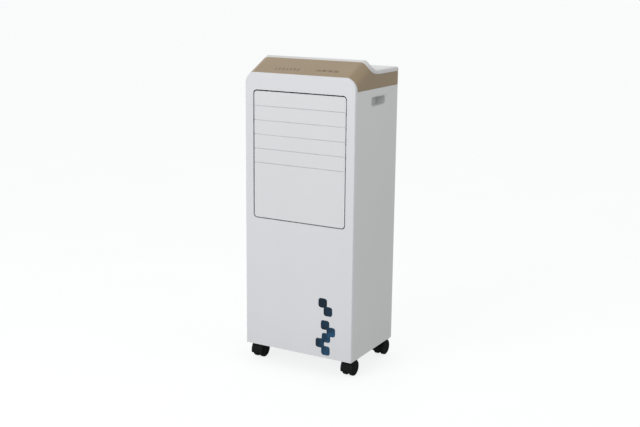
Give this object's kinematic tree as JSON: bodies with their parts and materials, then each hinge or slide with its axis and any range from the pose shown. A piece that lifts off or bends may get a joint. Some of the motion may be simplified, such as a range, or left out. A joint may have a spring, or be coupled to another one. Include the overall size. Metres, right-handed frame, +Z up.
{
  "type": "portable evaporative air cooler",
  "caption": "Slim upright air cooler on castors with a closing louvre outlet, sloping control hood, rear pad cassette and pull-out water tank.",
  "frame": {"origin": "on the floor, under the centre of the cabinet", "axes": "+Z up, the air outlet faces -Y, +X to the right seen from the front"},
  "size_m": [0.34, 0.261, 0.867],
  "materials": {
    "white_shell": "satin",
    "white_louver": "satin",
    "white_grille": "satin",
    "champagne": "metallic satin",
    "key_champagne": "metallic satin",
    "navy_inlay": "gloss",
    "grey_duct": "matt",
    "dark_base": "matt",
    "black_blades": "matt",
    "castor_black": "satin",
    "wheel_black": "satin",
    "motor_steel": "zinc plated",
    "shaft_steel": "ground",
    "pad_fibre": "fibrous",
    "filter_net": "woven",
    "tank_plastic": "translucent",
    "hose_clear": "soft",
    "board_green": "solder mask"
  },
  "bodies": {
    "cabinet": {"base_tray": "dark_base", "front_panel": "white_shell", "side_panel_left": "white_shell", "side_panel_right": "white_shell", "rear_panel": "white_shell", "control_hood": "champagne", "top_cover": "white_shell", "handle_cup_left": "white_shell", "handle_cup_right": "white_shell", "outlet_frame": "grey_duct", "blank_panel": "white_louver", "deco_inlay_upper": "navy_inlay", "deco_inlay_lower": "navy_inlay", "swing_motor": "motor_steel", "scroll_housing": "grey_duct", "inlet_ring": "grey_duct", "fan_motor": "motor_steel", "water_distributor": "grey_duct", "pump": "dark_base", "pump_hose": "hose_clear", "control_board": "board_green", "power_box": "dark_base", "cord_inlet": "dark_base"},
    "fan": {"impeller": "black_blades", "motor_shaft": "shaft_steel"},
    "cassette": {"rear_grille": "white_grille", "dust_filter": "filter_net", "cooling_pad": "pad_fibre"},
    "tank": {"water_tank": "tank_plastic"},
    "plug": {"drain_plug": "dark_base"},
    "louver_link": {"louver_link": "grey_duct"},
    "vane_link": {"vane_link": "grey_duct"},
    "louver_1": {"louver_1": "white_louver"},
    "vane_1": {"vane_1": "black_blades"},
    "louver_2": {"louver_2": "white_louver"},
    "vane_2": {"vane_2": "black_blades"},
    "louver_3": {"louver_3": "white_louver"},
    "vane_3": {"vane_3": "black_blades"},
    "louver_4": {"louver_4": "white_louver"},
    "vane_4": {"vane_4": "black_blades"},
    "louver_5": {"louver_5": "white_louver"},
    "vane_5": {"vane_5": "black_blades"},
    "key_1": {"key_1": "key_champagne"},
    "key_2": {"key_2": "key_champagne"},
    "key_3": {"key_3": "key_champagne"},
    "key_4": {"key_4": "key_champagne"},
    "castor_front_left": {"castor_front_left_fork": "castor_black"},
    "wheel_front_left_left": {"castor_front_left_wheel_left": "wheel_black"},
    "wheel_front_left_right": {"castor_front_left_wheel_right": "wheel_black"},
    "castor_front_right": {"castor_front_right_fork": "castor_black"},
    "wheel_front_right_left": {"castor_front_right_wheel_left": "wheel_black"},
    "wheel_front_right_right": {"castor_front_right_wheel_right": "wheel_black"},
    "castor_rear_left": {"castor_rear_left_fork": "castor_black"},
    "wheel_rear_left_left": {"castor_rear_left_wheel_left": "wheel_black"},
    "wheel_rear_left_right": {"castor_rear_left_wheel_right": "wheel_black"},
    "castor_rear_right": {"castor_rear_right_fork": "castor_black"},
    "wheel_rear_right_left": {"castor_rear_right_wheel_left": "wheel_black"},
    "wheel_rear_right_right": {"castor_rear_right_wheel_right": "wheel_black"}
  },
  "joints": [
    {"name": "fan_spin", "type": "hinge", "parent": "cabinet", "child": "fan", "pos_m": [0, 0, 0.452], "axis": [0, 1, 0], "continuous": true},
    {"name": "louver_turn", "type": "hinge", "parent": "cabinet", "child": "louver_1", "pos_m": [0, -0.117, 0.7562], "axis": [1, 0, 0], "range_deg": [0, 80]},
    {"name": "louver_2_turn", "type": "hinge", "parent": "cabinet", "child": "louver_2", "pos_m": [0, -0.117, 0.717], "axis": [1, 0, 0], "range_deg": [0, 80]},
    {"name": "louver_3_turn", "type": "hinge", "parent": "cabinet", "child": "louver_3", "pos_m": [0, -0.117, 0.6778], "axis": [1, 0, 0], "range_deg": [0, 80]},
    {"name": "louver_4_turn", "type": "hinge", "parent": "cabinet", "child": "louver_4", "pos_m": [0, -0.117, 0.6386], "axis": [1, 0, 0], "range_deg": [0, 80]},
    {"name": "louver_5_turn", "type": "hinge", "parent": "cabinet", "child": "louver_5", "pos_m": [0, -0.117, 0.5994], "axis": [1, 0, 0], "range_deg": [0, 80]},
    {"name": "louver_link_pivot", "type": "hinge", "parent": "louver_1", "child": "louver_link", "pos_m": [-0.151, -0.10814, 0.75776], "axis": [1, 0, 0], "range_deg": [-80, 0]},
    {"name": "vane_swing", "type": "hinge", "parent": "cabinet", "child": "vane_3", "pos_m": [0, -0.068, 0.679], "axis": [0, 0, 1], "range_deg": [-35, 35]},
    {"name": "vane_1_swing", "type": "hinge", "parent": "cabinet", "child": "vane_1", "pos_m": [-0.104, -0.068, 0.679], "axis": [0, 0, 1], "range_deg": [-35, 35]},
    {"name": "vane_2_swing", "type": "hinge", "parent": "cabinet", "child": "vane_2", "pos_m": [-0.052, -0.068, 0.679], "axis": [0, 0, 1], "range_deg": [-35, 35]},
    {"name": "vane_4_swing", "type": "hinge", "parent": "cabinet", "child": "vane_4", "pos_m": [0.052, -0.068, 0.679], "axis": [0, 0, 1], "range_deg": [-35, 35]},
    {"name": "vane_5_swing", "type": "hinge", "parent": "cabinet", "child": "vane_5", "pos_m": [0.104, -0.068, 0.679], "axis": [0, 0, 1], "range_deg": [-35, 35]},
    {"name": "vane_link_pivot", "type": "hinge", "parent": "vane_3", "child": "vane_link", "pos_m": [0, -0.059, 0.567], "axis": [0, 0, 1], "range_deg": [-35, 35]},
    {"name": "key_1_press", "type": "slide", "parent": "cabinet", "child": "key_1", "axis": [0, 0.4384, -0.8988], "range_m": [0, 0.001], "stiffness_N_per_m": 500},
    {"name": "key_2_press", "type": "slide", "parent": "cabinet", "child": "key_2", "axis": [0, 0.4384, -0.8988], "range_m": [0, 0.001], "stiffness_N_per_m": 500},
    {"name": "key_3_press", "type": "slide", "parent": "cabinet", "child": "key_3", "axis": [0, 0.4384, -0.8988], "range_m": [0, 0.001], "stiffness_N_per_m": 500},
    {"name": "key_4_press", "type": "slide", "parent": "cabinet", "child": "key_4", "axis": [0, 0.4384, -0.8988], "range_m": [0, 0.001], "stiffness_N_per_m": 500},
    {"name": "cassette_pull", "type": "slide", "parent": "cabinet", "child": "cassette", "axis": [0, 1, 0], "range_m": [0, 0.06]},
    {"name": "tank_pull", "type": "slide", "parent": "cabinet", "child": "tank", "axis": [0, 1, 0], "range_m": [0, 0.14]},
    {"name": "plug_pull", "type": "slide", "parent": "tank", "child": "plug", "axis": [0, 1, 0], "range_m": [0, 0.02]},
    {"name": "castor_front_left_swivel", "type": "hinge", "parent": "cabinet", "child": "castor_front_left", "pos_m": [-0.146, -0.098, 0.05], "axis": [0, 0, 1], "continuous": true},
    {"name": "wheel_front_left_left_roll", "type": "hinge", "parent": "castor_front_left", "child": "wheel_front_left_left", "pos_m": [-0.156, -0.085, 0.023], "axis": [1, 0, 0], "continuous": true},
    {"name": "wheel_front_left_right_roll", "type": "hinge", "parent": "castor_front_left", "child": "wheel_front_left_right", "pos_m": [-0.136, -0.085, 0.023], "axis": [1, 0, 0], "continuous": true},
    {"name": "castor_front_right_swivel", "type": "hinge", "parent": "cabinet", "child": "castor_front_right", "pos_m": [0.146, -0.098, 0.05], "axis": [0, 0, 1], "continuous": true},
    {"name": "wheel_front_right_left_roll", "type": "hinge", "parent": "castor_front_right", "child": "wheel_front_right_left", "pos_m": [0.136, -0.085, 0.023], "axis": [1, 0, 0], "continuous": true},
    {"name": "wheel_front_right_right_roll", "type": "hinge", "parent": "castor_front_right", "child": "wheel_front_right_right", "pos_m": [0.156, -0.085, 0.023], "axis": [1, 0, 0], "continuous": true},
    {"name": "castor_rear_left_swivel", "type": "hinge", "parent": "cabinet", "child": "castor_rear_left", "pos_m": [-0.146, 0.098, 0.05], "axis": [0, 0, 1], "continuous": true},
    {"name": "wheel_rear_left_left_roll", "type": "hinge", "parent": "castor_rear_left", "child": "wheel_rear_left_left", "pos_m": [-0.156, 0.111, 0.023], "axis": [1, 0, 0], "continuous": true},
    {"name": "wheel_rear_left_right_roll", "type": "hinge", "parent": "castor_rear_left", "child": "wheel_rear_left_right", "pos_m": [-0.136, 0.111, 0.023], "axis": [1, 0, 0], "continuous": true},
    {"name": "castor_rear_right_swivel", "type": "hinge", "parent": "cabinet", "child": "castor_rear_right", "pos_m": [0.146, 0.098, 0.05], "axis": [0, 0, 1], "continuous": true},
    {"name": "wheel_rear_right_left_roll", "type": "hinge", "parent": "castor_rear_right", "child": "wheel_rear_right_left", "pos_m": [0.136, 0.111, 0.023], "axis": [1, 0, 0], "continuous": true},
    {"name": "wheel_rear_right_right_roll", "type": "hinge", "parent": "castor_rear_right", "child": "wheel_rear_right_right", "pos_m": [0.156, 0.111, 0.023], "axis": [1, 0, 0], "continuous": true}
  ],
  "couplings": [
    {"joint": "louver_2_turn", "follows": "louver_turn", "ratio": 1},
    {"joint": "louver_3_turn", "follows": "louver_turn", "ratio": 1},
    {"joint": "louver_4_turn", "follows": "louver_turn", "ratio": 1},
    {"joint": "louver_5_turn", "follows": "louver_turn", "ratio": 1},
    {"joint": "louver_link_pivot", "follows": "louver_turn", "ratio": -1},
    {"joint": "vane_1_swing", "follows": "vane_swing", "ratio": 1},
    {"joint": "vane_2_swing", "follows": "vane_swing", "ratio": 1},
    {"joint": "vane_4_swing", "follows": "vane_swing", "ratio": 1},
    {"joint": "vane_5_swing", "follows": "vane_swing", "ratio": 1},
    {"joint": "vane_link_pivot", "follows": "vane_swing", "ratio": -1}
  ]
}
